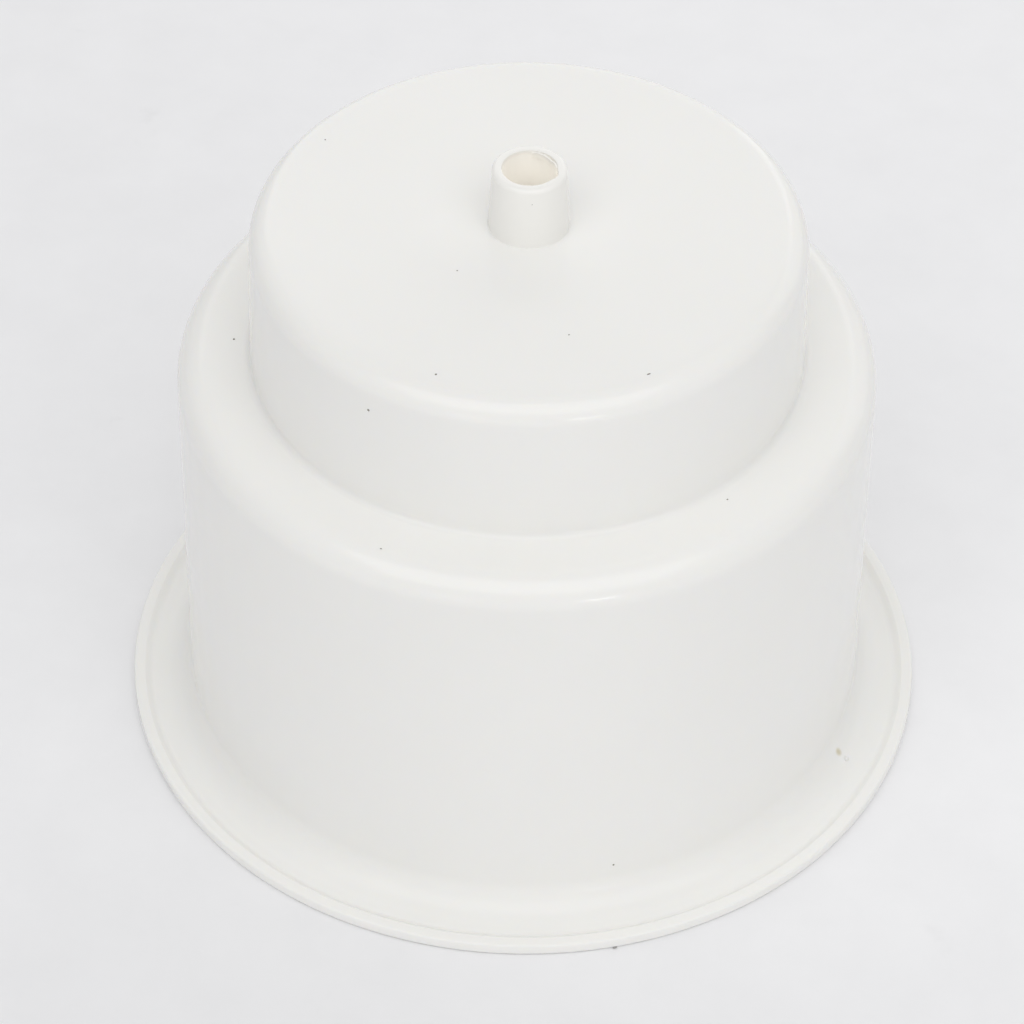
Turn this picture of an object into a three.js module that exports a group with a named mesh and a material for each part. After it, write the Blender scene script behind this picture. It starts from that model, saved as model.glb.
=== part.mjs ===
// Recessed cup holder with a drain spout: a stepped plastic cup that drops into a round cut-out and
// hangs there by its flange. It stands here upside down, with the flange's front face on Z = 0, the
// closed end up and the drain spout on top. Millimetres, +Z up, axis of revolution on Z.

import * as THREE from "three";

// Flange: its front face rests on Z = 0, and the raised lip round its back seats on the panel.
const FLANGE_RADIUS = 54;
const FLANGE_THICKNESS = 1.2;
const FRONT_EDGE_ROUND = 0.9;
const LIP_WIDTH = 1.5;
const LIP_HEIGHT = 0.7;
const LIP_EDGE_ROUND = 0.2;
const GUTTER_ROUND = 0.4;

// Wide upper wall of the cup, from the flange to the shoulder.
const BODY_RADIUS_AT_FLANGE = 45.9;
const BODY_RADIUS_AT_SHOULDER = 45.35;
const FLANGE_BLEND = 4;
const SHOULDER_HEIGHT = 57.75;
const SHOULDER_ROUND = 3.8;

// Narrow can well, from the shoulder to the closed end.
const WELL_RADIUS_AT_SHOULDER = 35.8;
const WELL_RADIUS_AT_END = 35.35;
const WELL_FOOT_ROUND = 0.9;
const END_HEIGHT = 78.2;
const END_ROUND = 2.9;

// Moulded wall, and the rounding of the mouth that the cup is filled through.
const WALL = 1.8;
const MOUTH_ROUND = 5.5;
const INNER_END_ROUND = END_ROUND - WALL;

// Drain spout: a tube with a collar on the closed end and a spigot bonded into the drain hole.
const SPOUT_TIP_HEIGHT = 87;
const SPOUT_RADIUS_AT_TIP = 4.75;
const SPOUT_RADIUS_AT_ROOT = 5.08;
const SPOUT_TIP_ROUND = 0.65;
const COLLAR_FLARE = 0.25;
const BORE_RADIUS = 3.5;
const SPIGOT_RADIUS = 4.2;
const SPIGOT_CLEARANCE = 0.3;

// How finely the rounded surfaces are faceted.
const SHELL_SEGMENTS = 64;
const SPOUT_SEGMENTS = 40;

const LIP_TOP = FLANGE_THICKNESS + LIP_HEIGHT;
const FLOOR_HEIGHT = END_HEIGHT - WALL;
const HOLE_RADIUS = SPIGOT_RADIUS + SPIGOT_CLEARANCE;

const shellPlastic = new THREE.MeshStandardMaterial({
  color: new THREE.Color(0.93, 0.93, 0.915),
  roughness: 0.28,
  metalness: 0,
});
const spoutPlastic = new THREE.MeshStandardMaterial({
  color: new THREE.Color(0.92, 0.91, 0.87),
  roughness: 0.34,
  metalness: 0,
});

// Points of a circular arc about (r, z) in the radius-height plane, both ends included.
function arc(r, z, radius, fromDegrees, toDegrees, steps) {
  const points = [];
  for (let i = 0; i <= steps; i++) {
    const angle = THREE.MathUtils.degToRad(
      THREE.MathUtils.lerp(fromDegrees, toDegrees, i / steps),
    );
    points.push([r + radius * Math.cos(angle), z + radius * Math.sin(angle)]);
  }
  return points;
}

// A clockwise outline in the radius-height plane, closed and turned round the Z axis. The lathe wants
// it anticlockwise for faces that point out.
function turned(outline, segments) {
  const points = [...outline, outline[0]].reverse().map(([r, z]) => new THREE.Vector2(r, z));
  return new THREE.LatheGeometry(points, segments).rotateX(Math.PI / 2);
}

// Outside of the cup, from the drain hole over the closed end and down to the flange's gutter.
function outerSkin() {
  return [
    [HOLE_RADIUS, END_HEIGHT],
    ...arc(WELL_RADIUS_AT_END - END_ROUND, END_HEIGHT - END_ROUND, END_ROUND, 90, 0, 5),
    ...arc(
      WELL_RADIUS_AT_SHOULDER + WELL_FOOT_ROUND,
      SHOULDER_HEIGHT + WELL_FOOT_ROUND,
      WELL_FOOT_ROUND,
      180,
      270,
      3,
    ),
    ...arc(
      BODY_RADIUS_AT_SHOULDER - SHOULDER_ROUND,
      SHOULDER_HEIGHT - SHOULDER_ROUND,
      SHOULDER_ROUND,
      90,
      0,
      5,
    ),
    ...arc(
      BODY_RADIUS_AT_FLANGE + FLANGE_BLEND,
      FLANGE_THICKNESS + FLANGE_BLEND,
      FLANGE_BLEND,
      180,
      270,
      5,
    ),
  ];
}

// Rim of the flange: gutter corner, raised lip and the rounded edge of the front face.
function flangeRim() {
  const lipInside = FLANGE_RADIUS - LIP_WIDTH;
  return [
    ...arc(lipInside - GUTTER_ROUND, FLANGE_THICKNESS + GUTTER_ROUND, GUTTER_ROUND, 270, 360, 2),
    ...arc(lipInside + LIP_EDGE_ROUND, LIP_TOP - LIP_EDGE_ROUND, LIP_EDGE_ROUND, 180, 90, 1),
    ...arc(FLANGE_RADIUS - LIP_EDGE_ROUND, LIP_TOP - LIP_EDGE_ROUND, LIP_EDGE_ROUND, 90, 0, 1),
    ...arc(FLANGE_RADIUS - FRONT_EDGE_ROUND, FRONT_EDGE_ROUND, FRONT_EDGE_ROUND, 0, -90, 4),
  ];
}

// Inside of the cup, from the front face through the mouth, past the ledge and down to the drain hole.
function innerSkin() {
  const ledgeHeight = SHOULDER_HEIGHT - WALL;
  const innerShoulderRound = SHOULDER_ROUND - WALL;
  const ledgeEdgeRound = WELL_FOOT_ROUND + WALL;
  return [
    ...arc(
      BODY_RADIUS_AT_FLANGE - WALL + MOUTH_ROUND,
      MOUTH_ROUND,
      MOUTH_ROUND,
      270,
      180,
      5,
    ),
    ...arc(
      BODY_RADIUS_AT_SHOULDER - SHOULDER_ROUND,
      SHOULDER_HEIGHT - SHOULDER_ROUND,
      innerShoulderRound,
      0,
      90,
      4,
    ),
    ...arc(
      WELL_RADIUS_AT_SHOULDER - WALL + ledgeEdgeRound,
      ledgeHeight + ledgeEdgeRound,
      ledgeEdgeRound,
      270,
      180,
      4,
    ),
    ...arc(
      WELL_RADIUS_AT_END - END_ROUND,
      END_HEIGHT - END_ROUND,
      INNER_END_ROUND,
      0,
      90,
      3,
    ),
    [HOLE_RADIUS, FLOOR_HEIGHT],
  ];
}

// Tube, collar and spigot of the spout in one outline round its bore.
function spoutOutline() {
  const collarRadius = SPOUT_RADIUS_AT_ROOT + COLLAR_FLARE;
  return [
    [BORE_RADIUS, FLOOR_HEIGHT],
    [BORE_RADIUS, SPOUT_TIP_HEIGHT],
    ...arc(
      SPOUT_RADIUS_AT_TIP - SPOUT_TIP_ROUND,
      SPOUT_TIP_HEIGHT - SPOUT_TIP_ROUND,
      SPOUT_TIP_ROUND,
      90,
      0,
      3,
    ),
    ...arc(collarRadius, END_HEIGHT + COLLAR_FLARE, COLLAR_FLARE, 180, 270, 2),
    [SPIGOT_RADIUS, END_HEIGHT],
    [SPIGOT_RADIUS, FLOOR_HEIGHT],
  ];
}

function named(name, geometry, material) {
  const mesh = new THREE.Mesh(geometry, material);
  mesh.name = name;
  return mesh;
}

const cupHolder = new THREE.Group();
cupHolder.add(
  named(
    "cup_shell",
    turned([...outerSkin(), ...flangeRim(), ...innerSkin()], SHELL_SEGMENTS),
    shellPlastic,
  ),
  named("drain_spout", turned(spoutOutline(), SPOUT_SEGMENTS), spoutPlastic),
);

export default cupHolder;
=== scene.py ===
"""Recessed cup holder with a drain spout, standing upside down on its flange in soft studio light.

Sizes are in millimetres in the row frame (+Z up, Z = 0 on the table) and are turned into metres where
a mesh, a light or the camera is made. An azimuth is in degrees round +Z, 0 at the front (-Y) and
90 at the right (+X).
"""

import math

import bmesh
import bpy
from mathutils import Matrix, Vector, noise


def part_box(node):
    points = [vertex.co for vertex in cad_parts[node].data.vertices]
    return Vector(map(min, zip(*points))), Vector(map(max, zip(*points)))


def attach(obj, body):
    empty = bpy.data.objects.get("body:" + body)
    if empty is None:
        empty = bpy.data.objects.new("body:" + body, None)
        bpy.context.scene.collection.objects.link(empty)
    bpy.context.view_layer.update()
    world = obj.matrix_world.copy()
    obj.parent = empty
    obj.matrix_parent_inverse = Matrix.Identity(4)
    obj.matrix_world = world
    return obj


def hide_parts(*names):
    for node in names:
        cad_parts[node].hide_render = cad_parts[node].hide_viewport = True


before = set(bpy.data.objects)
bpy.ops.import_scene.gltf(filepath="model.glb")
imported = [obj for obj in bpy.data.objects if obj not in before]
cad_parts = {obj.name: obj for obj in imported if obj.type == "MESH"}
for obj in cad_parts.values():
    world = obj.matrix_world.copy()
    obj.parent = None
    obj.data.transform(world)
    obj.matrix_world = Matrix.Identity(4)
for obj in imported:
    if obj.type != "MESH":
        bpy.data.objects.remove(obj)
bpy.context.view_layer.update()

MM = 0.001


def node_mm(node):
    """Lowest and highest corner of a CAD node, in millimetres."""
    low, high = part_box(node)
    return Vector(low) / MM, Vector(high) / MM


_, SHELL_HIGH = node_mm("cup_shell")
SPOUT_LOW, SPOUT_HIGH = node_mm("drain_spout")

# Flange
FLANGE_RADIUS = SHELL_HIGH.x
FLANGE_THICKNESS = 1.2
FRONT_EDGE_ROUND = 0.65
LIP_WIDTH = 1.4
LIP_HEIGHT = 0.7
LIP_EDGE_ROUND = 0.3
LIP_SLOPE = 40
LIP_CREST_ROUND = 0.25
LIP_FOOT_ROUND = 1.3

# Wide body
BODY_RADIUS_AT_FLANGE = 45.9
BODY_RADIUS_AT_SHOULDER = 45.35
FLANGE_BLEND = 4.0
SHOULDER_HEIGHT = 57.75
SHOULDER_ROUND = 3.8

# Can well
WELL_RADIUS_AT_SHOULDER = 35.8
WELL_RADIUS_AT_END = 35.35
WELL_FOOT_ROUND = 0.9
END_HEIGHT = SHELL_HIGH.z
END_ROUND = 2.9

# Wall
FLOOR_HEIGHT = SPOUT_LOW.z
WALL = END_HEIGHT - FLOOR_HEIGHT
MOUTH_ROUND = 5.5

# Spout
TIP_HEIGHT = SPOUT_HIGH.z
TIP_RADIUS = 4.75
TIP_ROUND = 0.65
ROOT_RADIUS = 5.18
COLLAR_FLARE = SPOUT_HIGH.x - ROOT_RADIUS
COLLAR_SINK = 0.015
COLLAR_FOOT = 0.1
BORE_RADIUS = 3.5
BORE_EDGE_ROUND = 0.1
SPIGOT_RADIUS = 4.2
HOLE_RADIUS = 4.5

# Marks of use and moulding: the nick and the torn skin at the spout's mouth, the gate's stub on the
# flange's blend, the flash on the rim, whose dark grey is painted shade, and dark grains in the plastic.
NICK_AZIMUTH = 66
NICK_HALF_ANGLE = 22
NICK_REACH = 0.3
NICK_REACH_ACROSS = 0.6
NICK_DEPTH = 1.6
BURR_FROM = 176
BURR_TO = 97
BURR_GAP = 0.3
BURR_THICKNESS = 0.18
BURR_DROP = 0.1
BURR_TALL = 0.8
BURR_RAGGED = 0.12
BURR_END_DROP = 0.25
GATE_AZIMUTH = 65.4
GATE_RADIUS = 47.05
GATE_HEIGHT = 2.4
GATE_STAIN = 0.8
STUB_OUT = 1.1
STUB_DOWN = 0.85
STUB_WIDTH = 0.8
FLASH_AZIMUTH = 13
FLASH_HEIGHT = 0.22
FLASH_WIDTH = 0.32
FLASH_STRETCH = 1.8
GRAIN_FLATNESS = 0.2
CRUMB_FLATNESS = 0.6
# Azimuth, radius, height, width and length over width of each dark grain. The last three are on the walls.
SPECKS = [
    (-122, 31, END_HEIGHT, 0.2, 1.0),
    (-43, 13, END_HEIGHT, 0.2, 1.0),
    (-21, 31, END_HEIGHT, 0.27, 1.0),
    (13, 22, END_HEIGHT, 0.18, 1.2),
    (27, 32, END_HEIGHT, 0.2, 2.6),
    (-91, 38, SHOULDER_HEIGHT, 0.3, 1.0),
    (41, 38, SHOULDER_HEIGHT, 0.22, 1.0),
    (-25, 42, SHOULDER_HEIGHT, 0.18, 1.5),
    (-33, 35.45, 73, 0.32, 1.0),
    (15, 45.9, 7, 0.27, 1.0),
    (4, 4.84, 85, 0.09, 1.3),
]

# Studio light. Name, azimuth, distance, height, width, tallness and radiance of each lamp, in metres.
SKY_STRENGTH = 0.473
LAMP_AIM_HEIGHT = 0.04
LAMPS = [
    ("overhead_softbox", 0, 0.6, 1.05, 1.8, 1.0, 1.34),
    ("back_left_softbox", -140, 1.0, 0.45, 0.9, 0.8, 0.17),
    ("back_softbox", 180, 1.0, 0.45, 0.9, 0.8, 0.78),
    ("back_right_softbox", 140, 1.0, 0.45, 0.9, 0.8, 0.58),
    ("low_right_strip", 21, 0.95, 0.07, 0.17, 0.08, 7.5),
    ("low_left_strip", -22, 0.95, 0.07, 0.26, 0.1, 1.1),
]

# How far the moulded wall wanders, and how finely the pieces are turned.
WANDER = 0.04
SHELL_SEGMENTS = 320
SPOUT_SEGMENTS = 240
SEED = 11


# ---------------------------------------------------------------- outlines


def arc(r, z, radius, start, end, steps):
    """Points of an arc about (r, z) in the radius-height plane, both ends included, angles in degrees."""
    points = []
    for i in range(steps + 1):
        angle = math.radians(start + (end - start) * i / steps)
        points.append((r + radius * math.cos(angle), z + radius * math.sin(angle)))
    return points


def run(start, end, steps):
    """Points between two points of an outline, both left out."""
    return [
        (start[0] + (end[0] - start[0]) * i / steps, start[1] + (end[1] - start[1]) * i / steps)
        for i in range(1, steps)
    ]


def joined(*pieces, step=1.0):
    """Pieces of an outline in one list, with points at most `step` apart along the straight stretches."""
    points = list(pieces[0])
    for piece in pieces[1:]:
        gap = math.dist(points[-1], piece[0])
        points += run(points[-1], piece[0], max(1, math.ceil(gap / step)))
        points += piece
    return points


def shell_outline():
    """The cup's wall, from the drain hole over the outside, round the flange and back along the inside."""
    lip_top = FLANGE_THICKNESS + LIP_HEIGHT
    crest = FLANGE_RADIUS - LIP_WIDTH
    slope = math.radians(LIP_SLOPE)
    rounded = (LIP_CREST_ROUND + LIP_FOOT_ROUND) * math.tan(slope / 2)
    foot_of_lip = crest - rounded - LIP_HEIGHT / math.tan(slope)
    body = BODY_RADIUS_AT_SHOULDER - SHOULDER_ROUND
    end = WELL_RADIUS_AT_END - END_ROUND
    foot = WELL_RADIUS_AT_SHOULDER + WELL_FOOT_ROUND
    blend = BODY_RADIUS_AT_FLANGE + FLANGE_BLEND
    mouth = BODY_RADIUS_AT_FLANGE - WALL + MOUTH_ROUND
    edge = LIP_EDGE_ROUND
    outside = joined(
        [(HOLE_RADIUS, END_HEIGHT)],
        arc(end, END_HEIGHT - END_ROUND, END_ROUND, 90, 0, 14),
        arc(foot, SHOULDER_HEIGHT + WELL_FOOT_ROUND, WELL_FOOT_ROUND, 180, 270, 8),
        arc(body, SHOULDER_HEIGHT - SHOULDER_ROUND, SHOULDER_ROUND, 90, 0, 14),
        arc(blend, FLANGE_THICKNESS + FLANGE_BLEND, FLANGE_BLEND, 180, 270, 14),
        arc(foot_of_lip, FLANGE_THICKNESS + LIP_FOOT_ROUND, LIP_FOOT_ROUND, 270, 270 + LIP_SLOPE, 6),
    )
    rim = joined(
        arc(crest, lip_top - LIP_CREST_ROUND, LIP_CREST_ROUND, 90 + LIP_SLOPE, 90, 5),
        arc(FLANGE_RADIUS - edge, lip_top - edge, edge, 90, 0, 4),
        arc(FLANGE_RADIUS - FRONT_EDGE_ROUND, FRONT_EDGE_ROUND, FRONT_EDGE_ROUND, 0, -90, 10),
    )
    inside = joined(
        arc(mouth, MOUTH_ROUND, MOUTH_ROUND, 270, 180, 16),
        arc(body, SHOULDER_HEIGHT - SHOULDER_ROUND, SHOULDER_ROUND - WALL, 0, 90, 8),
        arc(foot, SHOULDER_HEIGHT + WELL_FOOT_ROUND, WELL_FOOT_ROUND + WALL, 270, 180, 12),
        arc(end, END_HEIGHT - END_ROUND, END_ROUND - WALL, 0, 90, 8),
        [(HOLE_RADIUS, FLOOR_HEIGHT)],
    )
    return joined(outside, rim, inside)


def spout_outline():
    """The spout's tube, collar and spigot, from the bottom of the bore up and down the outside."""
    collar = ROOT_RADIUS + COLLAR_FLARE
    edge = BORE_EDGE_ROUND
    return joined(
        [(BORE_RADIUS, FLOOR_HEIGHT)],
        arc(BORE_RADIUS + edge, TIP_HEIGHT - edge, edge, 180, 90, 4),
        arc(TIP_RADIUS - TIP_ROUND, TIP_HEIGHT - TIP_ROUND, TIP_ROUND, 90, 0, 10),
        arc(collar, END_HEIGHT - COLLAR_SINK + COLLAR_FLARE, COLLAR_FLARE, 180, 270, 10),
        [(collar, END_HEIGHT - COLLAR_FOOT)],
        [(SPIGOT_RADIUS, END_HEIGHT - COLLAR_FOOT)],
        [(SPIGOT_RADIUS, FLOOR_HEIGHT)],
        step=0.4,
    )


# ---------------------------------------------------------------- meshes


def place(azimuth, r, z):
    """A point in metres from its azimuth, radius and height in millimetres."""
    a = math.radians(azimuth)
    return Vector((r * math.sin(a), -r * math.cos(a), z)) * MM


def make_piece(name, bm, material, sharp=40):
    """An object from a bmesh, riding on the root body. Edges sharper than `sharp` degrees stay sharp."""
    bmesh.ops.recalc_face_normals(bm, faces=bm.faces)
    mesh = bpy.data.meshes.new(name)
    bm.to_mesh(mesh)
    bm.free()
    for polygon in mesh.polygons:
        polygon.use_smooth = True
    mesh.set_sharp_from_angle(angle=math.radians(sharp))
    mesh.materials.append(material)
    piece = bpy.data.objects.new(name, mesh)
    bpy.context.scene.collection.objects.link(piece)
    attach(piece, "root")
    return piece


def turned(outline, segments, shaped=None):
    """A closed outline turned round Z. `shaped` moves each of its points by azimuth, radius and height."""
    bm = bmesh.new()
    rings = []
    for i in range(segments):
        azimuth = 360 * i / segments
        ring = []
        for r, z in outline:
            if shaped:
                r, z = shaped(azimuth, r, z)
            ring.append(bm.verts.new(place(azimuth, r, z)))
        rings.append(ring)
    for ring, after in zip(rings, rings[1:] + rings[:1]):
        for a, b, c, d in zip(ring, ring[1:] + ring[:1], after[1:] + after[:1], after):
            bm.faces.new((a, b, c, d))
    return bm


def bell(x):
    """1 at 0, falling smoothly to 0 at -1 and 1."""
    return max(0.0, 1 - x * x) ** 2


def wandering(azimuth, r, z):
    """The moulded wall wanders a few hundredths of a millimetre from true, but not at the front face."""
    at = place(azimuth, r, z) / MM
    drift = noise.noise(at / 22 + Vector((SEED, 0, 0)))
    return min(FLANGE_RADIUS, r + WANDER * drift * min(1, z / 6)), z


def nicked(azimuth, r, z):
    """The bore's edge has one nick in it, on the right."""
    up = max(0.0, 1 - (TIP_HEIGHT - z) / NICK_DEPTH)
    near = max(0.0, 1 - (r - BORE_RADIUS) / NICK_REACH_ACROSS)
    return r + NICK_REACH * bell((azimuth - NICK_AZIMUTH) / NICK_HALF_ANGLE) * up * near, z


def torn_skin():
    """A sliver of skin that stands off the bore's wall just under its edge, round the back right."""
    steps = 60
    bm = bmesh.new()
    rows = []
    for i in range(steps + 1):
        t = i / steps
        azimuth = BURR_FROM + (BURR_TO - BURR_FROM) * t
        stand_off = BURR_GAP * min(1, 6 * t, 3 * (1 - t)) * (0.45 + 0.55 * bell((t - 0.62) / 0.5))
        ragged = BURR_RAGGED * noise.noise(Vector((9 * t, SEED, 0)))
        outer = BORE_RADIUS + 0.03 - stand_off
        inner = outer - BURR_THICKNESS
        top = TIP_HEIGHT - BURR_DROP + ragged - BURR_END_DROP * (1 - min(1, 8 * t, 8 * (1 - t)))
        foot = top - BURR_TALL
        corners = [(outer, foot), (outer, top), (inner, top - 0.03), (inner + 0.05, foot)]
        rows.append([bm.verts.new(place(azimuth, r, z)) for r, z in corners])
    for row, after in zip(rows, rows[1:]):
        for a, b, c, d in zip(row, row[1:] + row[:1], after[1:] + after[:1], after):
            bm.faces.new((a, b, c, d))
    bm.faces.new(rows[0])
    bm.faces.new(rows[-1][::-1])
    return bm


def add_grain(bm, azimuth, r, z, across, flat, stretch=1.0, on_wall=False):
    """A small rough grain set into a surface: `flat` is its thickness over its width."""
    size = across / 2 * MM
    turn = Matrix.Rotation(math.radians(azimuth), 4, "Z")
    lie = Matrix.Rotation(math.radians(90), 4, "X") if on_wall else Matrix.Identity(4)
    scale = Matrix.Diagonal((size * stretch, size, size * flat, 1))
    matrix = Matrix.Translation(place(azimuth, r, z)) @ turn @ lie @ scale
    new = bmesh.ops.create_icosphere(bm, subdivisions=3, radius=1)["verts"]
    for vertex in new:
        shift = noise.noise(vertex.co * 1.7 + Vector((azimuth, r, SEED)))
        vertex.co = matrix @ (vertex.co * (1 + 0.35 * shift))


# ---------------------------------------------------------------- materials


def material_nodes(name):
    """A new node material: (material, its nodes, its links, its Principled shader)."""
    material = bpy.data.materials.new(name)
    material.use_nodes = True
    tree = material.node_tree
    return material, tree.nodes, tree.links, tree.nodes["Principled BSDF"]


def noise_node(nodes, links, coordinates, scale, detail=3.0, roughness=0.5):
    node = nodes.new("ShaderNodeTexNoise")
    node.inputs["Scale"].default_value = scale
    node.inputs["Detail"].default_value = detail
    node.inputs["Roughness"].default_value = roughness
    links.new(coordinates, node.inputs["Vector"])
    return node.outputs["Fac"]


def ramp(nodes, links, factor, stops):
    """Colours or greys at positions along a factor."""
    node = nodes.new("ShaderNodeValToRGB")
    while len(node.color_ramp.elements) < len(stops):
        node.color_ramp.elements.new(0.5)
    for element, (position, colour) in zip(node.color_ramp.elements, stops):
        element.position = position
        element.color = (*colour, 1) if isinstance(colour, tuple) else (colour, colour, colour, 1)
    links.new(factor, node.inputs["Fac"])
    return node.outputs["Color"]


def bump(nodes, links, height, distance, strength, under=None):
    node = nodes.new("ShaderNodeBump")
    node.inputs["Distance"].default_value = distance
    node.inputs["Strength"].default_value = strength
    links.new(height, node.inputs["Height"])
    if under is not None:
        links.new(under, node.inputs["Normal"])
    return node.outputs["Normal"]


def white_plastic(name, pale, deep, gloss, shine, glow, depth):
    """Moulded white plastic: slow drifts of tone, faint orange peel, less shine low down, some glow."""
    material, nodes, links, shader = material_nodes(name)
    at = nodes.new("ShaderNodeTexCoord").outputs["Object"]
    drift = noise_node(nodes, links, at, 45, 4)
    links.new(ramp(nodes, links, drift, [(0.3, deep), (0.7, pale)]), shader.inputs["Base Color"])
    wear = noise_node(nodes, links, at, 160, 6, 0.65)
    rough = ramp(nodes, links, wear, [(0.3, gloss), (0.75, gloss + 0.06)])
    links.new(rough, shader.inputs["Roughness"])
    parts = nodes.new("ShaderNodeSeparateXYZ")
    links.new(at, parts.inputs[0])
    duller = nodes.new("ShaderNodeMapRange")
    duller.interpolation_type = "SMOOTHSTEP"
    duller.inputs["From Min"].default_value = 4 * MM
    duller.inputs["From Max"].default_value = 12 * MM
    duller.inputs["To Min"].default_value = 0.4 * shine
    duller.inputs["To Max"].default_value = shine
    links.new(parts.outputs["Z"], duller.inputs["Value"])
    links.new(duller.outputs[0], shader.inputs["Specular IOR Level"])
    peel = noise_node(nodes, links, at, 420, 2)
    waves = noise_node(nodes, links, at, 60, 2)
    normal = bump(nodes, links, waves, 0.0002, 0.25)
    normal = bump(nodes, links, peel, 0.00001, 0.3, normal)
    links.new(normal, shader.inputs["Normal"])
    shader.inputs["IOR"].default_value = 1.5
    shader.inputs["Subsurface Weight"].default_value = glow
    shader.inputs["Subsurface Radius"].default_value = (1.0, 0.85, 0.6)
    shader.inputs["Subsurface Scale"].default_value = depth
    return material


def stain(material, azimuth, r, z, radius, colour):
    """A soft round discolouration of a material about one point of the surface."""
    tree = material.node_tree
    nodes, links = tree.nodes, tree.links
    at = nodes.new("ShaderNodeTexCoord").outputs["Object"]
    away = nodes.new("ShaderNodeVectorMath")
    away.operation = "DISTANCE"
    away.inputs[1].default_value = place(azimuth, r, z)
    links.new(at, away.inputs[0])
    near = nodes.new("ShaderNodeMapRange")
    near.interpolation_type = "SMOOTHSTEP"
    near.inputs["From Min"].default_value = radius * MM
    near.inputs["From Max"].default_value = 0.15 * radius * MM
    links.new(away.outputs["Value"], near.inputs["Value"])
    shader = nodes["Principled BSDF"]
    clean = shader.inputs["Base Color"].links[0].from_socket
    mix = nodes.new("ShaderNodeMix")
    mix.data_type = "RGBA"
    mix.inputs["B"].default_value = (*colour, 1)
    links.new(near.outputs[0], mix.inputs["Factor"])
    links.new(clean, mix.inputs["A"])
    links.new(mix.outputs["Result"], shader.inputs["Base Color"])


def bore_light(material, radius, top, fade, colour, strength):
    """Painted light: a warm glow inside `radius`, fading out at the top, that stands in for light coming
    through the tube's wall.
    """
    tree = material.node_tree
    nodes, links = tree.nodes, tree.links
    at = nodes.new("ShaderNodeTexCoord").outputs["Object"]
    parts = nodes.new("ShaderNodeSeparateXYZ")
    links.new(at, parts.inputs[0])
    flat = nodes.new("ShaderNodeCombineXYZ")
    links.new(parts.outputs["X"], flat.inputs["X"])
    links.new(parts.outputs["Y"], flat.inputs["Y"])
    length = nodes.new("ShaderNodeVectorMath")
    length.operation = "LENGTH"
    links.new(flat.outputs[0], length.inputs[0])
    inside = nodes.new("ShaderNodeMapRange")
    inside.inputs["From Min"].default_value = radius * 1.04
    inside.inputs["From Max"].default_value = radius * 1.01
    links.new(length.outputs["Value"], inside.inputs["Value"])
    below = nodes.new("ShaderNodeMapRange")
    below.inputs["From Min"].default_value = top
    below.inputs["From Max"].default_value = top - fade
    links.new(parts.outputs["Z"], below.inputs["Value"])
    glow = nodes.new("ShaderNodeMath")
    glow.operation = "MULTIPLY"
    links.new(inside.outputs[0], glow.inputs[0])
    links.new(below.outputs[0], glow.inputs[1])
    tint = nodes.new("ShaderNodeMix")
    tint.data_type = "RGBA"
    tint.inputs["A"].default_value = (0, 0, 0, 1)
    tint.inputs["B"].default_value = (*colour, 1)
    links.new(glow.outputs[0], tint.inputs["Factor"])
    shader = nodes["Principled BSDF"]
    links.new(tint.outputs["Result"], shader.inputs["Emission Color"])
    shader.inputs["Emission Strength"].default_value = strength


def plain(name, colour, roughness, variation=0.15, scale=900):
    """A small mark's material, with a grain of its own."""
    material, nodes, links, shader = material_nodes(name)
    at = nodes.new("ShaderNodeTexCoord").outputs["Object"]
    grain = noise_node(nodes, links, at, scale, 3)
    dark = tuple(c * (1 - variation) for c in colour)
    links.new(ramp(nodes, links, grain, [(0.35, dark), (0.65, colour)]), shader.inputs["Base Color"])
    shader.inputs["Roughness"].default_value = roughness
    return material


def table_paper():
    """Pale, slightly cool studio table with a soft mottle, a few smudges, and painted shade that darkens
    its left and front.
    """
    material, nodes, links, shader = material_nodes("studio_table")
    at = nodes.new("ShaderNodeTexCoord").outputs["Object"]
    mottle = noise_node(nodes, links, at, 75, 5, 0.6)
    stops = [(0.3, (0.916, 0.916, 0.93)), (0.7, (0.944, 0.944, 0.958))]
    paper = ramp(nodes, links, mottle, stops)
    smudges = ramp(nodes, links, noise_node(nodes, links, at, 70, 5, 0.6), [(0.66, 1.0), (0.74, 0.965)])
    parts = nodes.new("ShaderNodeSeparateXYZ")
    links.new(at, parts.inputs[0])
    factors = [smudges]
    # Painted shade: the table's colour darkens towards its left (-X) and its front (-Y), where less light
    # falls. Each row gives where the shade is full, where it ends and how dark it gets.
    for axis, full_shade_at, clean, tone in (("X", -0.09, 0.03, 0.975), ("Y", -0.08, 0.0, 0.978)):
        painted_side_shade = nodes.new("ShaderNodeMapRange")
        painted_side_shade.interpolation_type = "SMOOTHSTEP"
        painted_side_shade.inputs["From Min"].default_value = full_shade_at
        painted_side_shade.inputs["From Max"].default_value = clean
        painted_side_shade.inputs["To Min"].default_value = tone
        painted_side_shade.inputs["To Max"].default_value = 1.0
        links.new(parts.outputs[axis], painted_side_shade.inputs["Value"])
        factors.append(painted_side_shade.outputs[0])
    for factor in factors:
        mix = nodes.new("ShaderNodeMix")
        mix.data_type = "RGBA"
        mix.blend_type = "MULTIPLY"
        mix.inputs["Factor"].default_value = 1
        links.new(paper, mix.inputs["A"])
        links.new(factor, mix.inputs["B"])
        paper = mix.outputs["Result"]
    links.new(paper, shader.inputs["Base Color"])
    shader.inputs["Roughness"].default_value = 0.6
    return material


# ---------------------------------------------------------------- pieces


def shell(plastic):
    bm = turned(shell_outline(), SHELL_SEGMENTS, wandering)
    piece = make_piece("cup_shell_moulding", bm, plastic)
    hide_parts("cup_shell")


def spout(plastic):
    bm = turned(spout_outline(), SPOUT_SEGMENTS, nicked)
    piece = make_piece("drain_spout_tube", bm, plastic)
    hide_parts("drain_spout")
    make_piece("torn_skin_in_bore", torn_skin(), plastic, sharp=60)


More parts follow.
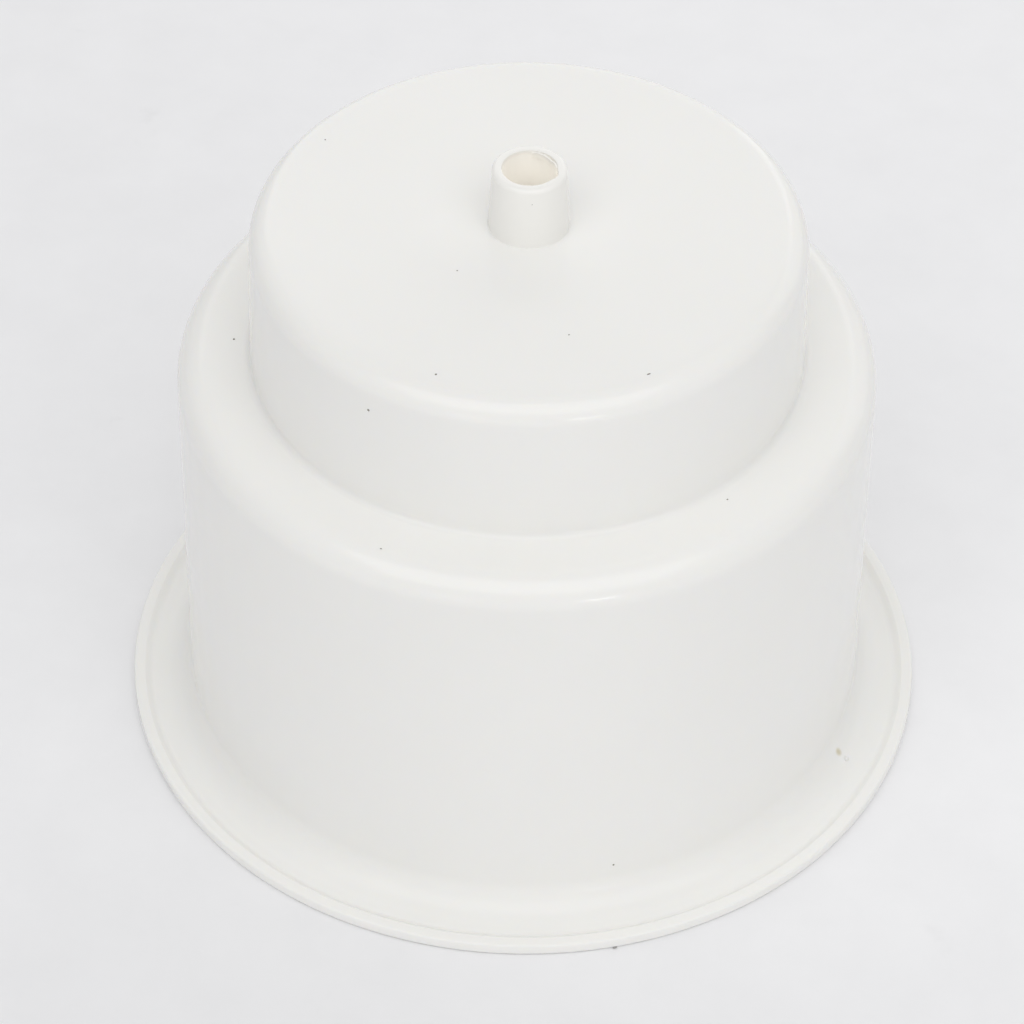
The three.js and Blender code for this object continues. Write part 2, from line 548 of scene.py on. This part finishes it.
def specks(dirt):
    bm = bmesh.new()
    for azimuth, r, z, across, stretch in SPECKS:
        on_wall = z not in (END_HEIGHT, SHOULDER_HEIGHT)
        add_grain(bm, azimuth, r, z, across, GRAIN_FLATNESS, stretch, on_wall)
    make_piece("dark_grains", bm, dirt, sharp=180)


def gate_stub(plastic):
    """Where the moulding was cut off its runner: a small stub, just below a stained spot."""
    bm = bmesh.new()
    add_grain(bm, GATE_AZIMUTH, GATE_RADIUS + STUB_OUT, GATE_HEIGHT - STUB_DOWN, STUB_WIDTH, CRUMB_FLATNESS)
    make_piece("gate_stub", bm, plastic, sharp=180)


def rim_flash(plastic):
    """A crumb of flash left on the lower edge of the rim, coloured dark grey as painted shade for the
    shadow in the gap under the rim.
    """
    bm = bmesh.new()
    r = FLANGE_RADIUS - 0.05
    add_grain(bm, FLASH_AZIMUTH, r, FLASH_HEIGHT, FLASH_WIDTH, CRUMB_FLATNESS, FLASH_STRETCH)
    make_piece("rim_flash", bm, plastic, sharp=180)


# ---------------------------------------------------------------- studio


def studio_floor():
    half = 6.0
    mesh = bpy.data.meshes.new("studio_table")
    corners = [(-half, -half, 0), (half, -half, 0), (half, half, 0), (-half, half, 0)]
    mesh.from_pydata(corners, [], [(0, 1, 2, 3)])
    mesh.materials.append(table_paper())
    table = bpy.data.objects.new("studio_table", mesh)
    bpy.context.scene.collection.objects.link(table)


def softbox(name, azimuth, distance, height, width, tall, radiance):
    """A rectangular white light, in metres, that gives the stated radiance and faces the object."""
    data = bpy.data.lights.new(name, "AREA")
    data.shape = "RECTANGLE"
    data.size = width
    data.size_y = tall
    data.energy = radiance * math.pi * width * tall
    lamp = bpy.data.objects.new(name, data)
    a = math.radians(azimuth)
    lamp.location = (distance * math.sin(a), -distance * math.cos(a), height)
    aim = Vector((0, 0, LAMP_AIM_HEIGHT)) - lamp.location
    lamp.rotation_euler = aim.to_track_quat("-Z", "Y").to_euler()
    lamp.visible_camera = False
    bpy.context.scene.collection.objects.link(lamp)


def studio_light():
    world = bpy.data.worlds.new("studio")
    bpy.context.scene.world = world
    world.use_nodes = True
    background = world.node_tree.nodes["Background"]
    background.inputs["Color"].default_value = (1.0, 1.0, 1.0, 1)
    background.inputs["Strength"].default_value = SKY_STRENGTH
    for lamp in LAMPS:
        softbox(*lamp)


def photo_camera():
    """The camera stands at the front, 43.5 degrees above the table, with a long lens."""
    elevation = math.radians(43.514)
    roll = math.radians(0.558)
    position = Vector((-1.78, -380.16, 388.94)) * MM
    forward = Vector((0, math.cos(elevation), -math.sin(elevation)))
    up = Vector((0, math.sin(elevation), math.cos(elevation)))
    right = Vector((1, 0, 0))
    right, up = (
        right * math.cos(roll) + up * math.sin(roll),
        up * math.cos(roll) - right * math.sin(roll),
    )
    data = bpy.data.cameras.new("photo_camera")
    data.sensor_fit = "HORIZONTAL"
    data.sensor_width = 36
    data.lens = 136.9
    data.clip_start = 0.01
    camera = bpy.data.objects.new("photo_camera", data)
    axes = Matrix((right, up, -forward)).transposed()
    camera.matrix_world = Matrix.Translation(position) @ axes.to_4x4()
    bpy.context.scene.collection.objects.link(camera)
    bpy.context.scene.camera = camera


photo_camera()
studio_floor()
studio_light()
bpy.context.scene.view_settings.view_transform = "Standard"

shell_white = white_plastic(
    "shell_white",
    pale=(0.94, 0.934, 0.908),
    deep=(0.928, 0.922, 0.896),
    gloss=0.12,
    shine=0.36,
    glow=0.15,
    depth=0.0012,
)
stain(shell_white, GATE_AZIMUTH, GATE_RADIUS, GATE_HEIGHT, GATE_STAIN, (0.72, 0.67, 0.52))
# The spout is the shell's white plastic. Its colour is painted paler than the shell's, as painted light for
# light the lamps don't give it.
spout_white_with_painted_light = white_plastic(
    "spout_white_with_painted_light",
    pale=(0.965, 0.955, 0.922),
    deep=(0.953, 0.943, 0.908),
    gloss=0.17,
    shine=0.5,
    glow=0.0,
    depth=0.0006,
)
# Painted light: the bore and the torn skin in it are given a warm glow for the light that comes through the
# tube's wall.
bore_light(
    spout_white_with_painted_light,
    radius=BORE_RADIUS * MM,
    top=TIP_HEIGHT * MM,
    fade=0.0008,
    colour=(1.0, 0.9, 0.76),
    strength=0.12,
)
shell(shell_white)
spout(spout_white_with_painted_light)
specks(plain("dark_grain", (0.26, 0.24, 0.21), 0.5))
gate_stub(shell_white)
# The flash's dark grey is painted shade for the gap under the rim.
rim_flash(plain("flash_painted_shade_grey", (0.4, 0.39, 0.37), 0.4))
